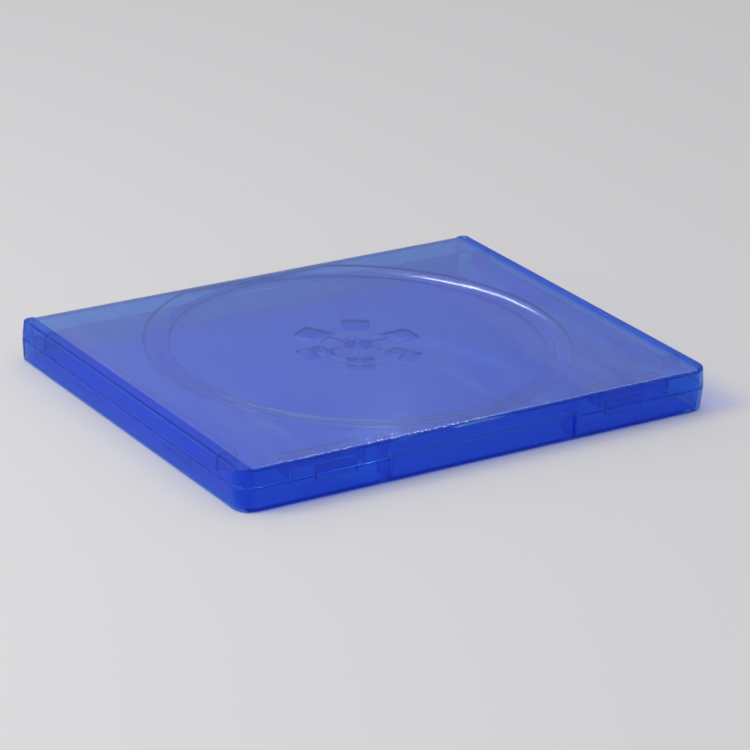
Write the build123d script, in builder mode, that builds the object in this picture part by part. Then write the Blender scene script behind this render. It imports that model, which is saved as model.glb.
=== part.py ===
from build123d import *
import os

os.makedirs("parts", exist_ok=True)

# Game disc case, closed and lying on its front cover. Millimetres.
# X runs along the spine, -Y is the opening edge, +Y the spine, Z is up.
# The origin is the middle of the underside.

# Overall size
case_length = 170.0  # along the spine
case_width = 135.0  # opening edge to spine
case_height = 14.0
back_depth = 6.1  # back cover, from its outer face to the seam
seam_gap = 0.2
seam_round = 0.3

# Moulded shell
wall = 1.2
panel = 1.05
opening_corner = 6.4  # plan corners beside the opening edge
rim_width = 4.2  # bare rim on each short side, beside the sleeve
back_round = 0.8
back_draft = 5.0  # degrees
front_round = 1.2
front_draft = 4.0  # degrees

# Clear sleeve
film = 0.2
film_recess = 0.3
film_margin = 0.4
film_corner = 1.5
back_film_setback = 1.7  # from the opening edge
front_film_setback = 2.2

# Living hinges
hinge_inset = 0.9  # hinge axis from the two outer faces it joins
hinge_land = 0.8  # hinge axis to the edge of each panel
web = 0.45
spine_corner = 1.8  # plan corners of the covers' short side walls beside the spine
spine_end = 0.4  # spine clear of the side walls at each end

# Thumb scoop in the opening edge of both covers
thumb_width = 66.0
thumb_depth = 1.0
thumb_height = 9.6
thumb_level = 5.9  # height of the scoop's deepest line

# Disc seat in the back cover
disc_radius = 60.0
disc_thickness = 1.2
disc_offset = 3.5  # disc centre from the middle of the case, towards the spine
dish_inset = 0.8  # flat floor of the dish inside the disc's edge
dish_slope = 7.8  # width of the ring that curves up round the floor
dish_depth = 1.2
dish_step = 0.3  # small steps at both ends of the curve
guard_clearance = 1.2
guard_wall = 1.0
guard_reach = 0.4  # past the disc's face
guard_gap = 18.0  # width of each finger gap in the guard
guard_gap_angle = 40.0  # from the case's long axis

# Hub
finger_count = 6
hub_radius = 21.0  # outer end of the windows
hub_ring = 10.4  # inner end of the windows
hub_bore = 4.8
hub_fillet = 0.6
window_width = 9.0
slit = 1.1
collar_radius = 7.1
collar_wall = 1.4
collar_bead = 0.3
collar_lead = 0.5  # chamfer at the collar's end
seat_inner = 12.2
seat_width = 2.4
seat_height = 0.8

# Frame walls behind the back cover's outer walls
frame_inset = 7.5
frame_wall = 1.0
frame_gap = 0.4  # above the seam
side_frame_far = 52.5
side_frame_near = -52.0
front_frame_inner = 43.0
front_frame_outer = 68.0

# Booklet tabs and latch tongues of the front cover
tab_radius = 7.0
tab_thickness = 0.9
tab_height = 4.6
tab_pitch = 56.0
latch_width = 14.0
latch_thickness = 0.9
latch_rise = 2.4
latch_root = 2.2
latch_clearance = 0.45
latch_pitch = 104.0

# Worked out from the sizes above
half_length = case_length / 2
half_width = case_width / 2
seam_height = case_height - back_depth
front_top = seam_height - seam_gap / 2
back_low = seam_height + seam_gap / 2
back_face = case_height - film_recess
back_ceiling = back_face - panel
front_floor = film_recess + panel
hinge_y = half_width - hinge_inset
cover_far = hinge_y - hinge_land
cavity_far = cover_far - wall
cavity_half = half_length - wall
cavity_near = -half_width + wall
rim_inner = half_length - rim_width
dish_floor = disc_radius - dish_inset
dish_rim = dish_floor + dish_slope
dish_face = back_face - dish_depth
dish_ceiling = dish_face - panel
disc_low = dish_ceiling - seat_height - disc_thickness
guard_low = disc_low - guard_reach
guard_inner = disc_radius + guard_clearance
window_length = case_width / 2
window_middle = hub_ring + window_length / 2
frame_low = back_low + frame_gap
frame_height = case_height - frame_low
frame_middle = (case_height + frame_low) / 2
side_frame_x = half_length - frame_inset
front_frame_y = -half_width + frame_inset
spine_inner = half_width - film_recess - panel
spine_low = hinge_inset + hinge_land
spine_high = case_height - spine_low
spine_half = rim_inner - spine_end
thumb_radius = (thumb_height**2 / 4 + thumb_depth**2) / (2 * thumb_depth)
thumb_y = -half_width + thumb_depth - thumb_radius
thumb_rib_x = (thumb_width + wall) / 2
film_half = rim_inner - film_margin
disc_axis = Axis((0, disc_offset, 0), (0, 0, 1))
disc_section = Plane.XZ.offset(-disc_offset)
overrun = 4.0  # blanks run past the spine end before they are cut to length


def cover_outline(inset):
    near = -half_width + inset
    far = cover_far + overrun
    with BuildSketch() as outline:
        with Locations((0, (near + far) / 2)):
            Rectangle(case_length - 2 * inset, far - near)
        fillet(outline.vertices().group_by(Axis.Y)[0], opening_corner - inset)
    return outline.sketch


def film_outline(setback):
    near = -half_width + setback
    far = cover_far - film_margin
    with BuildSketch() as outline:
        with Locations((0, (near + far) / 2)):
            Rectangle(2 * film_half, far - near)
        fillet(outline.vertices().group_by(Axis.Y)[0], film_corner)
    return outline.sketch


def thumb_scoop(inset):
    with BuildPart() as scoop:
        with Locations(Location((0, thumb_y, thumb_level), (0, 90, 0))):
            Cylinder(thumb_radius + inset, thumb_width + 2 * inset)
    return scoop.part


shell_outline = cover_outline(0)
cavity_outline = cover_outline(wall)

# Disc tray: dish plate, guard, hub collar and seat ring, solid above the plate
with BuildPart() as disc_tray:
    with BuildSketch(disc_section):
        with Locations((guard_inner + guard_wall / 2, (guard_low + case_height) / 2)):
            Rectangle(guard_wall, case_height - guard_low)
    revolve(axis=disc_axis)
    for turn in (guard_gap_angle, -guard_gap_angle):
        with Locations(Location((0, disc_offset, guard_low), (0, 0, turn))):
            Box(case_length, guard_gap, case_height, mode=Mode.SUBTRACT)
    with BuildSketch(disc_section):
        with BuildLine():
            Polyline(
                (0, dish_ceiling),
                (dish_floor, dish_ceiling),
                (dish_rim, back_ceiling),
                (dish_rim, case_height),
                (0, case_height),
                close=True,
            )
        make_face()
        with Locations((seat_inner + seat_width / 2, dish_ceiling - seat_height / 2)):
            Rectangle(seat_width, seat_height)
        with BuildLine():
            Polyline(
                (collar_radius - collar_wall, dish_face),
                (collar_radius, dish_face),
                (collar_radius, disc_low),
                (collar_radius + collar_bead, disc_low - collar_bead),
                (collar_radius + collar_bead, frame_low + collar_lead),
                (collar_radius + collar_bead - collar_lead, frame_low),
                (collar_radius - collar_wall, frame_low),
                close=True,
            )
        make_face()
    revolve(axis=disc_axis)

# Mould core of the back cover: the space inside it, less all that stands in it
with BuildPart() as back_core:
    with BuildSketch(Plane.XY.offset(back_low)):
        add(cavity_outline)
    extrude(amount=back_ceiling - back_low, taper=back_draft)
    with Locations((0, cover_far + half_width, seam_height)):
        Box(case_length, case_width, 2 * case_height, mode=Mode.SUBTRACT)
    side_frame_length = side_frame_far - side_frame_near
    with Locations((0, (side_frame_far + side_frame_near) / 2, frame_middle)):
        with GridLocations(2 * side_frame_x, 1, 2, 1):
            Box(frame_wall, side_frame_length, frame_height, mode=Mode.SUBTRACT)
        with GridLocations(side_frame_x + half_length, side_frame_length, 2, 2):
            Box(frame_inset, frame_wall, frame_height, mode=Mode.SUBTRACT)
    with Locations((0, front_frame_y, frame_middle)):
        with GridLocations(front_frame_inner + front_frame_outer, 1, 2, 1):
            Box(front_frame_outer - front_frame_inner, frame_wall, frame_height, mode=Mode.SUBTRACT)
    with Locations((0, (front_frame_y - half_width) / 2, frame_middle)):
        with GridLocations(2 * front_frame_inner, 1, 2, 1):
            Box(frame_wall, frame_inset, frame_height, mode=Mode.SUBTRACT)
        with GridLocations(2 * front_frame_outer, 1, 2, 1):
            Box(frame_wall, frame_inset, frame_height, mode=Mode.SUBTRACT)
        with GridLocations(2 * thumb_rib_x, 1, 2, 1):
            Box(wall, frame_inset, frame_height, mode=Mode.SUBTRACT)
    add(thumb_scoop(wall), mode=Mode.SUBTRACT)
    add(disc_tray.part, mode=Mode.SUBTRACT)

# Dish seen from outside, stopped at the strip along the spine
with BuildPart() as dish:
    with BuildSketch(disc_section):
        with BuildLine():
            curve_low = (dish_floor, dish_face + dish_step)
            curve_high = (dish_rim, back_face - dish_step)
            Polyline((0, dish_face), (dish_floor, dish_face), curve_low)
            TangentArc(curve_low, curve_high, tangent=(1, 0))
            Polyline(curve_high, (dish_rim, case_height), (0, case_height), (0, dish_face))
        make_face()
    revolve(axis=disc_axis)
    with Locations((0, cavity_far + half_width, case_height)):
        Box(case_length, case_width, case_height, mode=Mode.SUBTRACT)

# Windows between the hub fingers, and the slits that part the collar
with BuildSketch(Plane.XY.offset(dish_ceiling)) as hub_windows:
    with Locations((0, disc_offset)):
        with PolarLocations(window_middle, finger_count):
            Rectangle(window_length, window_width)
        Circle(hub_radius, mode=Mode.INTERSECT)
    fillet(hub_windows.vertices(), hub_fillet)

with BuildSketch(Plane.XY.offset(frame_low)) as hub_slits:
    with Locations((0, disc_offset)):
        with PolarLocations(hub_ring / 2, finger_count):
            Rectangle(hub_ring + hub_fillet, slit)
        Circle(hub_bore)

# Back cover
with BuildPart() as back_cover:
    with BuildSketch(Plane.XY.offset(back_low)):
        add(shell_outline)
    extrude(amount=case_height - back_low, taper=back_draft)
    with Locations((0, 2 * half_width, seam_height)):
        Box(2 * case_length, case_width, 2 * case_height, mode=Mode.SUBTRACT)
    far_edges = back_cover.faces().sort_by(Axis.Y)[-1].edges()
    fillet(far_edges.filter_by(Axis.X, reverse=True), spine_corner)
    fillet(back_cover.edges().group_by(Axis.Z)[-1], back_round)
    fillet(back_cover.edges().group_by(Axis.Z)[0], seam_round)
    with Locations((0, cover_far + half_width, seam_height)):
        Box(2 * rim_inner, case_width, 2 * case_height, mode=Mode.SUBTRACT)
    with Locations((0, 0, back_face + case_height / 2)):
        Box(2 * rim_inner, 2 * case_width, case_height, mode=Mode.SUBTRACT)
    add(back_core.part, mode=Mode.SUBTRACT)
    add(dish.part, mode=Mode.SUBTRACT)
    add(thumb_scoop(0), mode=Mode.SUBTRACT)
    extrude(hub_windows.sketch, amount=case_height, mode=Mode.SUBTRACT)
    extrude(hub_slits.sketch, amount=case_height, mode=Mode.SUBTRACT)
back_cover.part.label = "back_cover"
export_step(back_cover.part, "parts/back_cover.step")

# Mould core of the front cover, less the tabs and the wall and ribs behind the thumb scoop
with BuildPart() as front_core:
    with BuildSketch(Plane.XY.offset(front_top)):
        add(cavity_outline)
    extrude(amount=front_floor - front_top, taper=front_draft)
    with Locations((0, cavity_far + half_width, seam_height)):
        Box(case_length, case_width, 2 * case_height, mode=Mode.SUBTRACT)
    with Locations((0, 0, tab_height + tab_thickness / 2)):
        with GridLocations(2 * cavity_half, tab_pitch, 2, 2):
            Cylinder(tab_radius, tab_thickness, mode=Mode.SUBTRACT)
    add(thumb_scoop(wall), mode=Mode.SUBTRACT)
    with Locations((0, (front_frame_y - half_width) / 2, front_top - frame_gap - case_height / 2)):
        with GridLocations(2 * thumb_rib_x, 1, 2, 1):
            Box(wall, frame_inset, case_height, mode=Mode.SUBTRACT)

# Front cover
with BuildPart() as front_cover:
    with BuildSketch(Plane.XY.offset(front_top)):
        add(shell_outline)
    extrude(amount=-front_top, taper=front_draft)
    with Locations((0, 2 * half_width, seam_height)):
        Box(2 * case_length, case_width, 2 * case_height, mode=Mode.SUBTRACT)
    far_edges = front_cover.faces().sort_by(Axis.Y)[-1].edges()
    fillet(far_edges.filter_by(Axis.X, reverse=True), spine_corner)
    fillet(front_cover.edges().group_by(Axis.Z)[0], front_round)
    fillet(front_cover.edges().group_by(Axis.Z)[-1], seam_round)
    with Locations((0, cover_far + half_width, seam_height)):
        Box(2 * rim_inner, case_width, 2 * case_height, mode=Mode.SUBTRACT)
    with Locations((0, 0, film_recess - case_height / 2)):
        Box(2 * rim_inner, 2 * case_width, case_height, mode=Mode.SUBTRACT)
    add(front_core.part, mode=Mode.SUBTRACT)
    add(thumb_scoop(0), mode=Mode.SUBTRACT)
    latch_y = cavity_near + latch_clearance
    with Locations((0, latch_y + latch_thickness / 2, front_top + (latch_rise - latch_root) / 2)):
        with GridLocations(latch_pitch, 1, 2, 1):
            Box(latch_width, latch_thickness, latch_rise + latch_root)
    with Locations((0, cavity_near, front_top - latch_root / 2)):
        with GridLocations(latch_pitch, 1, 2, 1):
            Box(latch_width, latch_thickness, latch_root)
front_cover.part.label = "front_cover"
export_step(front_cover.part, "parts/front_cover.step")

# Spine
with BuildPart() as spine:
    spine_depth = half_width - film_recess - spine_inner
    with Locations((0, spine_inner + spine_depth / 2, case_height / 2)):
        Box(2 * spine_half, spine_depth, spine_high - spine_low)
spine.part.label = "spine"
export_step(spine.part, "parts/spine.step")

# Hinge web between the front cover and the spine
with BuildPart() as front_hinge_web:
    bend_outer = hinge_inset - film_recess
    bend_inner = bend_outer - web
    with BuildSketch(Plane.YZ.offset(-film_half)):
        with Locations((hinge_y, hinge_inset)):
            Circle(bend_outer)
            Circle(bend_inner, mode=Mode.SUBTRACT)
            Rectangle(bend_outer, 2 * bend_outer, align=(Align.MAX, Align.CENTER), mode=Mode.SUBTRACT)
            Rectangle(bend_outer, bend_outer, align=(Align.MIN, Align.MIN), mode=Mode.SUBTRACT)
        with Locations((cover_far, film_recess)):
            Rectangle(hinge_land, web, align=(Align.MIN, Align.MIN))
        with Locations((hinge_y + bend_outer, hinge_inset)):
            Rectangle(web, hinge_land, align=(Align.MAX, Align.MIN))
    extrude(amount=2 * film_half)
front_hinge_web.part.label = "front_hinge_web"
export_step(front_hinge_web.part, "parts/front_hinge_web.step")

# Hinge web between the spine and the back cover
with BuildPart() as back_hinge_web:
    add(front_hinge_web.part)
    mirror(about=Plane.XY.offset(case_height / 2), mode=Mode.REPLACE)
back_hinge_web.part.label = "back_hinge_web"
export_step(back_hinge_web.part, "parts/back_hinge_web.step")

# Clear sleeve: one panel on each cover and one on the spine
with BuildPart() as front_film:
    with BuildSketch(Plane.XY.offset(film_recess)):
        add(film_outline(front_film_setback))
    extrude(amount=-film)
front_film.part.label = "front_film"
export_step(front_film.part, "parts/front_film.step")

with BuildPart() as back_film:
    with BuildSketch(Plane.XY.offset(back_face)):
        add(film_outline(back_film_setback))
    extrude(amount=film)
back_film.part.label = "back_film"
export_step(back_film.part, "parts/back_film.step")

with BuildPart() as spine_film:
    with Locations((0, half_width - film_recess + film / 2, case_height / 2)):
        Box(2 * film_half, film, spine_high - spine_low - 2 * film_margin)
spine_film.part.label = "spine_film"
export_step(spine_film.part, "parts/spine_film.step")
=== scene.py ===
import math
import bpy
import bmesh
from mathutils import Matrix, Vector, noise


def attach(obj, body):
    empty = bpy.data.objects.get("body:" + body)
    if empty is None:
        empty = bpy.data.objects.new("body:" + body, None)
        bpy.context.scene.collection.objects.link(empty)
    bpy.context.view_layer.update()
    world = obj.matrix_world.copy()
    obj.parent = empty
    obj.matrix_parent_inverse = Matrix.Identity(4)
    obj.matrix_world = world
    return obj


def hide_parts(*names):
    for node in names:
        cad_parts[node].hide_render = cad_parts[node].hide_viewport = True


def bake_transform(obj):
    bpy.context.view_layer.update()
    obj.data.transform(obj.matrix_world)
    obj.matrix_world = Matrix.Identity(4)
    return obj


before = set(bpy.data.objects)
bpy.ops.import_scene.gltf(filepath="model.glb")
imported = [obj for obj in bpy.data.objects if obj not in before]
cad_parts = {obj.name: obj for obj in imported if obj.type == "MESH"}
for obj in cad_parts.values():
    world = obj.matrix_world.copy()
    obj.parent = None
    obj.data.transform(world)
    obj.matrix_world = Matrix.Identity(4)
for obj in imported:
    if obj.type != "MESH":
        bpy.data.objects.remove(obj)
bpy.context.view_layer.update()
print("frame loaded:", ", ".join(sorted(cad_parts)))

mm = 0.001


class Wire:  # a socket that does arithmetic, and the tree it belongs to
    def __init__(self, tree, socket=None):
        self.tree = tree
        self.socket = socket

    def node(self, kind, settings=None, inputs=None, out=0):
        made = self.tree.nodes.new(kind)
        for key, value in (settings or {}).items():
            setattr(made, key, value)
        for key, value in (inputs or {}).items():
            target = made.inputs[key]
            if isinstance(value, Wire):
                self.tree.links.new(value.socket, target)
            else:
                target.default_value = value
        return Wire(self.tree, made.outputs[out])

    def maths(self, operation, first, second=0.0):
        return self.node("ShaderNodeMath", {"operation": operation}, {0: first, 1: second})

    def __add__(self, other):
        return self.maths("ADD", self, other)

    def __radd__(self, other):
        return self.maths("ADD", other, self)

    def __sub__(self, other):
        return self.maths("SUBTRACT", self, other)

    def __rsub__(self, other):
        return self.maths("SUBTRACT", other, self)

    def __mul__(self, other):
        return self.maths("MULTIPLY", self, other)

    def __rmul__(self, other):
        return self.maths("MULTIPLY", other, self)

    def __pow__(self, other):
        return self.maths("POWER", self, other)

    def __rpow__(self, other):
        return self.maths("POWER", other, self)


def newMaterial(name):
    material = bpy.data.materials.new(name)
    material.use_nodes = True
    material.node_tree.nodes.clear()
    return material, Wire(material.node_tree)


def finishMaterial(wire, surface):
    output = wire.tree.nodes.new("ShaderNodeOutputMaterial")
    wire.tree.links.new(surface.socket, output.inputs["Surface"])


def objectPlace(wire, scale=(1, 1, 1)):
    coords = wire.node("ShaderNodeTexCoord", out="Object")
    return wire.node("ShaderNodeMapping", inputs={"Vector": coords, "Scale": scale})


def along(wire, place, axis):
    return wire.node("ShaderNodeSeparateXYZ", inputs={0: place}, out=axis)


def cloud(wire, place, scale, detail, roughness):
    return wire.node("ShaderNodeTexNoise", inputs={
        "Vector": place, "Scale": scale, "Detail": detail, "Roughness": roughness})


def spread(wire, value, start, end, low=0.0, high=1.0, ease="SMOOTHSTEP"):
    return wire.node("ShaderNodeMapRange", {"interpolation_type": ease}, {
        "Value": value, "From Min": start, "From Max": end, "To Min": low, "To Max": high})


def bumped(wire, strength, distance, height):
    return wire.node("ShaderNodeBump", inputs={"Strength": strength, "Distance": distance, "Height": height})


def mixColour(wire, factor, first, second):  # the Mix node's colours are sockets 6, 7 and output 2
    return wire.node("ShaderNodeMix", {"data_type": "RGBA"}, {0: factor, 6: first, 7: second}, out=2)


# Blue shell: tinted, slightly milky polypropylene that softly blurs what is behind it, with painted shade
# along the disc ring's two steps
shellLook = {
    "tint": (0.30, 0.64, 0.925, 1),
    "tintDeep": (0.26, 0.61, 0.910, 1),
    "tintThick": (0.13, 0.43, 0.84, 1),  # solid bars along the short sides
    "paintedStepShade": (0.02, 0.10, 0.45, 1),  # painted shade along the two steps round the disc ring
    "thickFrom": 79.6 * mm,
    "thickTo": 81.0 * mm,
    "ringCentre": (0.0, 3.5 * mm, 0.0),
    "paintedShadeRings": (59.2 * mm, 67.0 * mm),
    "stepWidth": 0.6 * mm,
    "stepLevel": 11.5 * mm,
    "stepFadeFrom": -55 * mm,  # the painted step shade is fainter towards the opening edge
    "stepFadeTo": -10 * mm,
    "stepFaint": 0.2,
    "haze": (0.003, 0.075, 0.70, 1),
    "hazeShare": 0.17,
    "hazeRough": 0.4,
    "index": 1.30,
    "cloud": (28.0, 4.0, 0.55),  # noise scale, detail and roughness
    "grain": (2600.0, 2.0, 0.5),
    "grainBump": 0.006,
    "grainDepth": 0.2 * mm,
    "blurLow": 0.05,
    "blurSpread": 0.05,
    "lampTint": (0.52, 0.62, 0.93, 1),  # what a wall leaves of the lamps' light
}


def paintedShadeRings(wire, place):  # narrow bands of painted shade where the disc ring steps up
    look = shellLook
    aside = wire.node("ShaderNodeVectorMath", {"operation": "SUBTRACT"}, {0: place, 1: look["ringCentre"]})
    flat = wire.node("ShaderNodeVectorMath", {"operation": "MULTIPLY"}, {0: aside, 1: (1, 1, 0)})
    reach = wire.node("ShaderNodeVectorMath", {"operation": "LENGTH"}, {0: flat}, out="Value")
    low, high = (wire.maths("ABSOLUTE", reach - step) for step in look["paintedShadeRings"])
    band = spread(wire, wire.maths("MINIMUM", low, high), 0.0, look["stepWidth"], 1.0, 0.0)
    fade = spread(wire, along(wire, place, "Y"), look["stepFadeFrom"], look["stepFadeTo"],
                  look["stepFaint"], 1.0, "LINEAR")
    return band * fade * wire.maths("GREATER_THAN", along(wire, place, "Z"), look["stepLevel"])


def makeShell():
    look = shellLook
    material, wire = newMaterial("translucentBlueShell")
    place = objectPlace(wire)
    cloudy = cloud(wire, place, *look["cloud"])
    grain = cloud(wire, place, *look["grain"])
    colour = mixColour(wire, cloudy, look["tintDeep"], look["tint"])
    sides = wire.maths("ABSOLUTE", along(wire, place, "X"))
    thick = spread(wire, sides, look["thickFrom"], look["thickTo"])
    colour = mixColour(wire, thick, colour, look["tintThick"])
    # painted shade: darker bands along the two disc-ring steps
    colour = mixColour(wire, paintedShadeRings(wire, place), colour, look["paintedStepShade"])
    bump = bumped(wire, look["grainBump"], look["grainDepth"], grain)
    clear = wire.node("ShaderNodeBsdfPrincipled", inputs={
        "Base Color": colour, "Roughness": look["blurLow"] + grain * look["blurSpread"], "Normal": bump,
        "IOR": look["index"], "Transmission Weight": 1.0})
    milky = wire.node("ShaderNodeBsdfPrincipled", inputs={
        "Base Color": look["haze"], "Roughness": look["hazeRough"], "Normal": bump, "IOR": look["index"]})
    moulded = wire.node("ShaderNodeMixShader", inputs={0: look["hazeShare"], 1: clear, 2: milky})
    lamp = wire.node("ShaderNodeBsdfTransparent", inputs={"Color": look["lampTint"]})
    shadow = wire.node("ShaderNodeLightPath", out="Is Shadow Ray")
    finishMaterial(wire, wire.node("ShaderNodeMixShader", inputs={0: shadow, 1: moulded, 2: lamp}))
    return material


# Clear sleeve film: a thin pane that mirrors more at low angles, with slow waves, wrinkles and fine scuffs
filmLook = {
    "tint": (0.97, 0.98, 1.0, 1),
    "gloss": (0.82, 0.96, 1.0, 1),
    "headOn": 0.04,
    "graze": 0.96,
    "grazePower": 5.0,
    "slantBlend": 0.5,
    "streaks": (34.0, 5.0, 0.6),  # wrinkles: noise scale, detail and roughness
    "streakTurn": (0, 0, math.radians(10)),
    "streakStretch": (1.0, 0.2, 1.0),
    "streakFrom": 0.47,
    "streakTo": 0.70,
    "streakNear": -50 * mm,  # wrinkles gather at the welded edge
    "streakFar": 5 * mm,
    "streakFaint": 0.25,
    "streakLow": 0.93,
    "streakSpread": 0.55,
    "waves": (55.0, 2.0, 0.5),
    "waveStretch": (0.35, 1.0, 1.0),
    "waveBump": 0.03,
    "waveDepth": 0.4 * mm,
    "scuffs": (420.0, 4.0, 0.6),
    "roughLow": 0.03,
    "roughSpread": 0.10,
}


def mirrorShare(wire):  # more mirror at low angles
    look = filmLook
    slant = wire.node("ShaderNodeLayerWeight", inputs={"Blend": look["slantBlend"]}, out="Facing")
    return look["headOn"] + slant ** look["grazePower"] * look["graze"]


def wrinkles(wire):  # long streaks that mirror a little more
    look = filmLook
    place = objectPlace(wire)
    turned = wire.node("ShaderNodeMapping", inputs={
        "Vector": place, "Rotation": look["streakTurn"], "Scale": look["streakStretch"]})
    streak = spread(wire, cloud(wire, turned, *look["streaks"]), look["streakFrom"], look["streakTo"])
    near = spread(wire, along(wire, place, "Y"), look["streakNear"], look["streakFar"],
                  1.0, look["streakFaint"], "LINEAR")
    return look["streakLow"] + streak * near * look["streakSpread"]


def makeFilm():
    look = filmLook
    material, wire = newMaterial("clearSleeveFilm")
    waves = cloud(wire, objectPlace(wire, look["waveStretch"]), *look["waves"])
    scuffs = cloud(wire, objectPlace(wire), *look["scuffs"])
    clear = wire.node("ShaderNodeBsdfTransparent", inputs={"Color": look["tint"]})
    gloss = wire.node("ShaderNodeBsdfPrincipled", inputs={
        "Base Color": look["gloss"], "Metallic": 1.0,
        "Roughness": look["roughLow"] + scuffs * look["roughSpread"],
        "Normal": bumped(wire, look["waveBump"], look["waveDepth"], waves)})
    share = mirrorShare(wire) * wrinkles(wire)
    finishMaterial(wire, wire.node("ShaderNodeMixShader", inputs={0: share, 1: clear, 2: gloss}))
    return material


# Welded edge of the sleeve: lumpy, with pale spots that are partly frosted weld and partly painted sparkle
weldLook = {
    "lumps": (1500.0, 3.0, 0.6),  # noise scale, detail and roughness
    "spotFrom": 0.52,
    "spotTo": 0.64,
    "sparkleCentre": -27 * mm,  # painted sparkle makes the pale spots strongest left of the middle
    "sparkleFrom": 5 * mm,
    "sparkleTo": 55 * mm,
    "frostFaint": 0.22,
    "plain": (0.06, 0.13, 0.58, 1),
    "frostAndSparkle": (0.88, 0.92, 1.0, 1),
    "bump": 0.9,
    "depth": 0.2 * mm,
    "roughLow": 0.05,
    "roughSpread": 0.15,
    "index": 1.45,
}


def makeWeld():
    look = weldLook
    material, wire = newMaterial("weldedFilmEdge")
    place = objectPlace(wire)
    lumps = cloud(wire, place, *look["lumps"])
    spots = spread(wire, lumps, look["spotFrom"], look["spotTo"])
    # pale spots: faint frosting all along the weld, plus painted sparkle gathered left of the middle
    aside = wire.maths("ABSOLUTE", along(wire, place, "X") - look["sparkleCentre"])
    frostAndSparkleSpread = spread(wire, aside, look["sparkleFrom"], look["sparkleTo"], 1.0, look["frostFaint"])
    finishMaterial(wire, wire.node("ShaderNodeBsdfPrincipled", inputs={
        "Base Color": mixColour(wire, spots * frostAndSparkleSpread, look["plain"], look["frostAndSparkle"]),
        "Roughness": look["roughLow"] + lumps * look["roughSpread"],
        "Normal": bumped(wire, look["bump"], look["depth"], lumps), "IOR": look["index"]}))
    return material


shell = makeShell()
film = makeFilm()
weld = makeWeld()
print("materials made")

for name in ("front_cover", "back_cover", "spine"):
    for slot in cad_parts[name].material_slots:
        slot.material = shell
print("shell material on the moulded pieces")

case = {
    "length": 170.0 * mm,
    "width": 135.0 * mm,
    "height": 14.0 * mm,
    "hingeInset": 0.9 * mm,  # hinge axis from the outer faces
    "hingeLand": 0.8 * mm,
    "filmRecess": 0.3 * mm,
}
hingeY = case["width"] / 2 - case["hingeInset"]
coverFar = hingeY - case["hingeLand"]
sharpAngle = math.radians(40)  # edges sharper than this aren't shaded smooth
touch = 1e-6  # vertices nearer than this are one


def finishPiece(bm, name, material, smooth=True):
    mesh = bpy.data.meshes.new(name)
    bm.to_mesh(mesh)
    bm.free()
    for polygon in mesh.polygons:
        polygon.use_smooth = smooth
    if smooth:
        mesh.set_sharp_from_angle(angle=sharpAngle)
    mesh.materials.append(material)
    piece = bpy.data.objects.new(name, mesh)
    bpy.context.scene.collection.objects.link(piece)
    return piece


def vertsOf(geom):
    return [v for v in geom if isinstance(v, bmesh.types.BMVert)]


def edgesOf(geom):
    return [e for e in geom if isinstance(e, bmesh.types.BMEdge)]


def extend(bm, edges, move):  # a flat strip on from these edges
    strip = bmesh.ops.extrude_edge_only(bm, edges=edges)["geom"]
    bmesh.ops.translate(bm, verts=vertsOf(strip), vec=move)
    return vertsOf(strip) + edgesOf(strip)


def bendRound(bm, geom, steps):  # a quarter turn round the front hinge
    turned = bmesh.ops.spin(bm, geom=geom, cent=(0, hingeY, case["hingeInset"]), axis=(1, 0, 0),
                            angle=math.radians(90), steps=steps)
    return edgesOf(turned["geom_last"])


def turnOver(bm):  # swap the front cover's side and the back cover's
    bmesh.ops.scale(bm, verts=bm.verts, vec=(1, 1, -1))
    bmesh.ops.translate(bm, verts=bm.verts, vec=(0, 0, case["height"]))


def joinUp(bm):
    bmesh.ops.remove_doubles(bm, verts=bm.verts, dist=touch)
    bmesh.ops.recalc_face_normals(bm, faces=bm.faces)


hingeWeb = {
    "rim": 4.6 * mm,  # bare case beyond each end
    "thickness": 0.45 * mm,
    "steps": 12,
}


def makeWeb(name, upper):
    look = hingeWeb
    half = case["length"] / 2 - look["rim"]
    bm = bmesh.new()
    ends = [bm.verts.new((-half, coverFar, case["filmRecess"] + rise)) for rise in (0.0, look["thickness"])]
    start = extend(bm, [bm.edges.new(ends)], (0, case["hingeLand"], 0))
    extend(bm, bendRound(bm, start, look["steps"]), (0, 0, case["hingeLand"]))
    block = bmesh.ops.extrude_face_region(bm, geom=bm.faces[:], use_keep_orig=True)["geom"]
    bmesh.ops.translate(bm, verts=vertsOf(block), vec=(2 * half, 0, 0))
    if upper:
        turnOver(bm)
    joinUp(bm)
    return finishPiece(bm, name, shell, smooth=False)


frontWeb = makeWeb("frontHingeWeb", False)
backWeb = makeWeb("backHingeWeb", True)
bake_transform(frontWeb)
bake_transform(backWeb)
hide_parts("front_hinge_web")
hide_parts("back_hinge_web")
print("hinge webs made")

sleeve = {
    "rim": 4.3 * mm,  # bare case beyond each end
    "corner": 1.5 * mm,
    "cornerSteps": 6,
    "thickness": 0.14 * mm,
    "lift": 0.03 * mm,  # air under the film
    "step": 2.5 * mm,
    "backSetback": 1.2 * mm,
    "frontSetback": 1.7 * mm,
    "waveHeight": 0.035 * mm,
    "waveRate": (30.0, 55.0),
    "backSeed": 3.0,
    "frontSeed": 7.0,
    "calmHinge": 6 * mm,  # waves die out this far from each edge
    "calmSide": 4 * mm,
    "calmNear": 3 * mm,
    "weldLine": 3.3 * mm,  # crease that runs inside the welded edge
    "weldRise": 0.022 * mm,
    "creaseHalf": 0.35 * mm,
    "creaseReach": 0.05 * mm,
    "creaseLow": 0.6,
    "creaseSpread": 0.8,
    "creaseRate": 160.0,
    "creaseSeed": (1.0, 2.0),
    "bendSteps": 8,
    "meetGap": 0.02 * mm,  # from each sheet's end to the middle of the spine
}


def cutSheet(bm, place, normal):
    bmesh.ops.bisect_plane(bm, geom=bm.verts[:] + bm.edges[:] + bm.faces[:], plane_co=place, plane_no=normal)


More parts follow.
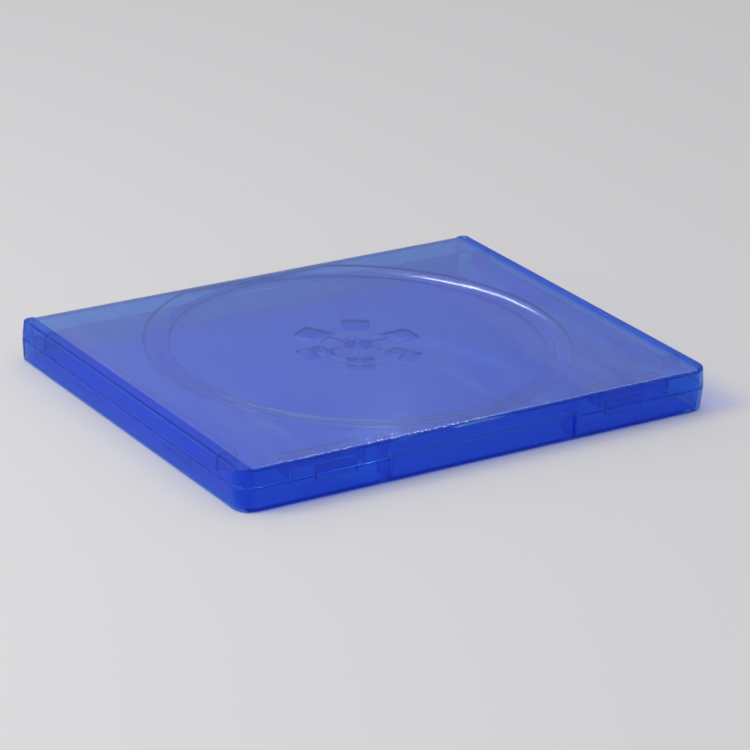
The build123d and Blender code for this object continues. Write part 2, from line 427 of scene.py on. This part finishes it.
def waveSheet(bm, half, near, crease, seed):
    look = sleeve
    for v in bm.verts:
        x, y = v.co.x, v.co.y
        calm = min(1.0, (coverFar - y) / look["calmHinge"], (half - abs(x)) / look["calmSide"],
                   (y - near) / look["calmNear"])
        wave = noise.noise(Vector((x * look["waveRate"][0], y * look["waveRate"][1], seed)))
        v.co.z -= max(calm, 0) * wave * look["waveHeight"]
        if abs(y - crease) < look["creaseReach"]:
            fold = noise.noise(Vector((x * look["creaseRate"], *look["creaseSeed"])))
            v.co.z -= look["weldRise"] * (look["creaseLow"] + look["creaseSpread"] * fold)


def makeSleeve(name, upper):
    look = sleeve
    half = case["length"] / 2 - look["rim"]
    near = -case["width"] / 2 + (look["backSetback"] if upper else look["frontSetback"])
    level = case["filmRecess"] - look["lift"]
    bm = bmesh.new()
    corners = [bm.verts.new((x, y, level)) for x, y in (
        (-half, near), (half, near), (half, hingeY), (-half, hingeY))]
    bm.faces.new(corners)
    bmesh.ops.bevel(bm, geom=corners[:2], offset=look["corner"], affect="VERTICES",
                    segments=look["cornerSteps"], profile=0.5, material=-1)
    columns = int(2 * half / look["step"])
    rows = int((hingeY - near) / look["step"])
    crease = near + look["weldLine"]
    for i in range(1, columns):
        cutSheet(bm, (-half + 2 * half * i / columns, 0, 0), (1, 0, 0))
    for i in range(1, rows):
        cutSheet(bm, (0, near + (hingeY - near) * i / rows, 0), (0, 1, 0))
    for side in (-1, 0, 1):
        cutSheet(bm, (0, crease + side * look["creaseHalf"], 0), (0, 1, 0))
    waveSheet(bm, half, near, crease, look["backSeed"] if upper else look["frontSeed"])
    farVerts = [v for v in bm.verts if abs(v.co.y - hingeY) < touch]
    farEdges = [e for e in bm.edges if all(abs(v.co.y - hingeY) < touch for v in e.verts)]
    bend = bendRound(bm, farVerts + farEdges, look["bendSteps"])
    extend(bm, bend, (0, 0, case["height"] / 2 - case["hingeInset"] - look["meetGap"]))
    if upper:
        turnOver(bm)
    joinUp(bm)
    flattest = max(bm.faces, key=lambda face: abs(face.normal.z))
    if (flattest.normal.z > 0) != upper:  # solidify needs normals that point away from the case
        bmesh.ops.reverse_faces(bm, faces=bm.faces)
    bmesh.ops.solidify(bm, geom=bm.faces[:], thickness=-look["thickness"])
    bmesh.ops.recalc_face_normals(bm, faces=bm.faces)
    return finishPiece(bm, name, film)


frontFilm = makeSleeve("frontSleeve", False)
backFilm = makeSleeve("backSleeve", True)
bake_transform(frontFilm)
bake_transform(backFilm)
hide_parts("front_film")
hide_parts("back_film", "spine_film")
print("sleeve made")

weldBead = {
    "rim": 6.0 * mm,  # bare case beyond each end
    "width": 0.9 * mm,
    "height": 0.20 * mm,
    "edgeRound": 0.1 * mm,
    "roundSteps": 2,
    "slices": 420,
    "lump": 0.16 * mm,
    "lumpRate": 900.0,
    "lumpAside": 0.9,
    "lumpUp": 0.3,
    "drift": 0.12 * mm,  # slow wander to and fro
    "driftRate": 90.0,
    "driftSeed": (4.0, 1.0),
    "seat": 0.8,  # share of the film's thickness below the bead's middle
}


def lengthwise(bm, least):
    return [e for e in bm.edges if abs(e.verts[0].co.x - e.verts[1].co.x) > least]


def makeWeldBead(name, upper):
    look = weldBead
    half = case["length"] / 2 - look["rim"]
    setback = sleeve["backSetback"] if upper else sleeve["frontSetback"]
    bm = bmesh.new()
    bmesh.ops.create_cube(bm, size=1.0)
    bmesh.ops.scale(bm, verts=bm.verts, vec=(2 * half, look["width"], look["height"]))
    bmesh.ops.bevel(bm, geom=lengthwise(bm, half), offset=look["edgeRound"], affect="EDGES",
                    segments=look["roundSteps"], profile=0.5, material=-1)
    bmesh.ops.subdivide_edges(bm, edges=lengthwise(bm, half), cuts=look["slices"], use_grid_fill=True)
    for v in bm.verts:
        lump = noise.noise(v.co * look["lumpRate"]) * look["lump"]
        drift = noise.noise(Vector((v.co.x * look["driftRate"], *look["driftSeed"]))) * look["drift"]
        v.co.y += lump * look["lumpAside"] + drift
        v.co.z += lump * look["lumpUp"] if v.co.z > 0 else 0
    across = -case["width"] / 2 + setback + look["width"] / 2
    level = case["height"] - case["filmRecess"] + sleeve["lift"] + sleeve["thickness"] * look["seat"]
    bmesh.ops.translate(bm, verts=bm.verts, vec=(0, across, level))
    if not upper:
        turnOver(bm)
    bmesh.ops.recalc_face_normals(bm, faces=bm.faces)
    return finishPiece(bm, name, weld)


backBead = makeWeldBead("backSleeveWeld", True)
frontBead = makeWeldBead("frontSleeveWeld", False)
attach(backBead, "back_cover")
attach(frontBead, "front_cover")
print("welded edges made")

# Floor and light
studio = {
    "floorHalf": 3.0,
    "floorColour": (0.625, 0.615, 0.63),
    "floorDim": 0.98,
    "floorCloud": (1.2, 2.0, 0.5),  # noise scale, detail and roughness
    "floorRough": 0.7,
    "floorShine": 0.2,
    "skyRise": 1.1,  # added towards the ceiling
    "skyPower": 4.0,
    "wallBright": 0.66,  # horizon on the left
    "wallDark": 0.44,  # horizon on the right
    "wallSide": (0.829, -0.559, 0.0),
    "wallFrom": -0.16,
    "wallTo": 0.10,
    "fillPlace": (-0.75, 0.15, 0.72),
    "fillSize": (0.45, 0.45),
    "fillPower": 5.4,
    "stripPlace": (0.645, 0.930, 0.675),  # narrow upright lamp behind the case
    "stripSize": (0.012, 0.168),
    "stripPower": 0.18,
    "clearLayers": 24,  # light passes through all layers of the case
}


def makeFloor():
    bm = bmesh.new()
    bmesh.ops.create_grid(bm, x_segments=1, y_segments=1, size=studio["floorHalf"])
    material, wire = newMaterial("paleFloor")
    shade = cloud(wire, objectPlace(wire), *studio["floorCloud"])
    pale = (*studio["floorColour"], 1)
    dim = (*(studio["floorDim"] * c for c in studio["floorColour"]), 1)
    finishMaterial(wire, wire.node("ShaderNodeBsdfPrincipled", inputs={
        "Base Color": mixColour(wire, shade, dim, pale), "Roughness": studio["floorRough"],
        "Specular IOR Level": studio["floorShine"]}))
    floor = finishPiece(bm, "floor", material, smooth=False)


def makeLamp(name, place, size, power):
    lamp = bpy.data.lights.new(name, "AREA")
    lamp.shape = "RECTANGLE"
    lamp.size, lamp.size_y = size
    lamp.energy = power
    holder = bpy.data.objects.new(name, lamp)
    holder.location = place
    holder.rotation_euler = Vector(place).to_track_quat("Z", "Y").to_euler()
    bpy.context.scene.collection.objects.link(holder)


def makeWorld():
    world = bpy.data.worlds.new("studio")
    world.use_nodes = True
    world.node_tree.nodes.clear()
    wire = Wire(world.node_tree)
    direction = wire.node("ShaderNodeTexCoord", out="Generated")
    height = along(wire, direction, "Z")
    aside = wire.node("ShaderNodeVectorMath", {"operation": "DOT_PRODUCT"},
                      {0: direction, 1: studio["wallSide"]}, out="Value")
    horizon = spread(wire, aside, studio["wallFrom"], studio["wallTo"],
                     studio["wallBright"], studio["wallDark"])
    sky = height ** studio["skyPower"] * studio["skyRise"]
    light = wire.node("ShaderNodeBackground", inputs={"Strength": horizon + sky})
    output = wire.tree.nodes.new("ShaderNodeOutputWorld")
    wire.tree.links.new(light.socket, output.inputs["Surface"])
    bpy.context.scene.world = world


makeFloor()
makeLamp("fillLamp", studio["fillPlace"], studio["fillSize"], studio["fillPower"])
makeLamp("stripLamp", studio["stripPlace"], studio["stripSize"], studio["stripPower"])
makeWorld()
bpy.context.scene.view_settings.view_transform = "Standard"
bpy.context.scene.cycles.transparent_max_bounces = studio["clearLayers"]
print("floor and lamps made")

view = {
    "azimuth": -33.971,
    "elevation": 22.328,
    "roll": 2.435,
    "aside": -3.868 * mm,
    "above": -3.032 * mm,
    "distance": 1098.197 * mm,
    "focus": 3508.094,  # in pixels
    "pixels": 750,  # width of the frame
    "sensor": 36.0,
}


def makeCamera():
    az, el, roll = (math.radians(view[key]) for key in ("azimuth", "elevation", "roll"))
    back = Vector((math.sin(az) * math.cos(el), -math.cos(az) * math.cos(el), math.sin(el)))
    right = Vector((math.cos(az), math.sin(az), 0))
    up = back.cross(right)
    across = math.cos(roll) * right + math.sin(roll) * up
    upward = math.cos(roll) * up - math.sin(roll) * right
    camera = bpy.data.cameras.new("camera")
    camera.sensor_width = view["sensor"]
    camera.lens = view["focus"] * view["sensor"] / view["pixels"]
    holder = bpy.data.objects.new("camera", camera)
    place = back * view["distance"] - across * view["aside"] - upward * view["above"]
    turn = Matrix((across, upward, back)).transposed()
    holder.matrix_world = Matrix.Translation(place) @ turn.to_4x4()
    bpy.context.scene.collection.objects.link(holder)
    bpy.context.scene.camera = holder


makeCamera()
print("camera set")
